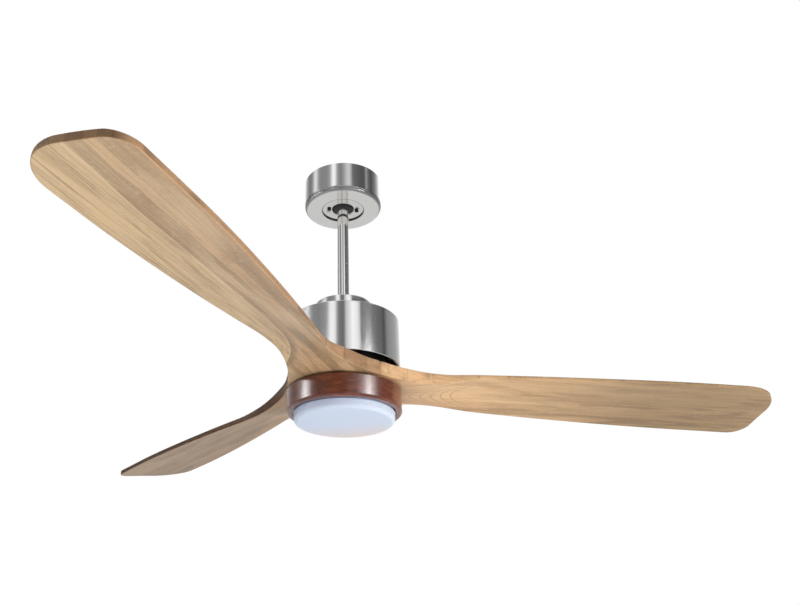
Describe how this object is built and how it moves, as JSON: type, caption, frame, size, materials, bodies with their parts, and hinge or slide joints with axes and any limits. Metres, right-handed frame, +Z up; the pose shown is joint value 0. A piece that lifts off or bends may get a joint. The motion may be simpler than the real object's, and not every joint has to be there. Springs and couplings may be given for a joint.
{
  "type": "ceiling fan with light",
  "caption": "Ceiling fan with carved wooden blades, brushed drum motor housing on a downrod and ball hanger, and a round LED light with an opal twist-off lens.",
  "frame": {"origin": "centre of the hanger bracket's top face, on the ceiling plane and on the fan's axis", "axes": "+Z up into the ceiling, +X along the first blade and along the bracket's two screw slots"},
  "size_m": [1.1938, 1.3449, 0.4839],
  "materials": {
    "zinc_steel": "zinc-plated satin",
    "brushed_nickel": "brushed nickel",
    "screw_steel": "bright plated",
    "white_plastic": "moulded",
    "foam_tape": "foam tape",
    "brass": "turned",
    "green_screw": "green passivated",
    "black_rubber": "matte",
    "black_plastic": "moulded",
    "cast_alloy": "die cast",
    "core_steel": "laminated",
    "copper_wire": "enamelled wire",
    "green_board": "lacquered board",
    "bearing_steel": "ground",
    "black_alloy": "black satin",
    "magnet_grey": "ferrite",
    "natural_wood": "clear satin lacquer",
    "white_metal": "white powder coat",
    "walnut_finish": "glossy printed walnut finish",
    "bare_aluminium": "mill finish",
    "white_board": "white solder mask",
    "led_yellow": "phosphor",
    "opal_lens": "opal acrylic"
  },
  "bodies": {
    "ceiling_side": {"hanger_bracket": "zinc_steel", "canopy_cup": "brushed_nickel", "canopy_trim": "brushed_nickel", "canopy_screws": "screw_steel", "receiver_case": "white_plastic", "receiver_lid": "white_plastic", "receiver_pad": "foam_tape", "terminal_block": "white_plastic", "terminal_screws": "brass", "earth_screw": "green_screw"},
    "liner": {"ball_liner": "black_rubber"},
    "hung": {"hanger_ball": "black_plastic", "hanger_pin": "screw_steel", "downrod": "brushed_nickel", "rod_harness": "black_plastic", "yoke": "cast_alloy", "clevis_pin": "screw_steel", "hairpin_clip": "screw_steel", "yoke_grub_screws": "screw_steel", "coupling_cover": "brushed_nickel", "motor_housing": "brushed_nickel", "housing_screws": "screw_steel", "motor_shaft": "screw_steel", "stator_core": "core_steel", "stator_hub": "cast_alloy", "slot_insulators": "white_plastic", "stator_windings": "copper_wire", "control_board": "green_board", "board_parts": "black_plastic", "bearing_inner_rings": "bearing_steel", "shaft_circlips": "screw_steel", "light_pan": "white_metal", "light_ring": "walnut_finish", "light_plate": "zinc_steel", "shaft_nuts": "screw_steel", "light_plate_screws": "screw_steel", "standoffs": "screw_steel", "led_tray": "bare_aluminium", "led_board": "white_board", "led_chips": "led_yellow", "led_board_screws": "screw_steel", "led_driver": "white_plastic", "led_connector": "white_plastic", "lens_lock_ring": "zinc_steel"},
    "rotor": {"bearing_balls": "bearing_steel", "bearing_outer_rings": "bearing_steel", "rotor_upper_shell": "black_alloy", "rotor_lower_shell": "black_alloy", "rotor_back_iron": "core_steel", "rotor_magnets": "magnet_grey", "rotor_screws": "screw_steel", "blade_1": "natural_wood", "blade_2": "natural_wood", "blade_3": "natural_wood", "blade_clamp_plate": "zinc_steel", "blade_screws": "screw_steel"},
    "lens": {"lens": "opal_lens"}
  },
  "joints": [
    {"name": "tilt_front_back", "type": "hinge", "parent": "ceiling_side", "child": "liner", "pos_m": [0, 0, -0.04021], "axis": [1, 0, 0], "range_deg": [-12, 12]},
    {"name": "tilt_left_right", "type": "hinge", "parent": "liner", "child": "hung", "pos_m": [0, 0, -0.04021], "axis": [0, 1, 0], "range_deg": [-9, 9]},
    {"name": "rotor_spin", "type": "hinge", "parent": "hung", "child": "rotor", "pos_m": [0, 0, -0.4009], "axis": [0, 0, 1], "continuous": true},
    {"name": "lens_twist", "type": "hinge", "parent": "hung", "child": "lens", "pos_m": [0, 0, -0.4664], "axis": [0, 0, 1], "range_deg": [-15, 0]}
  ]
}
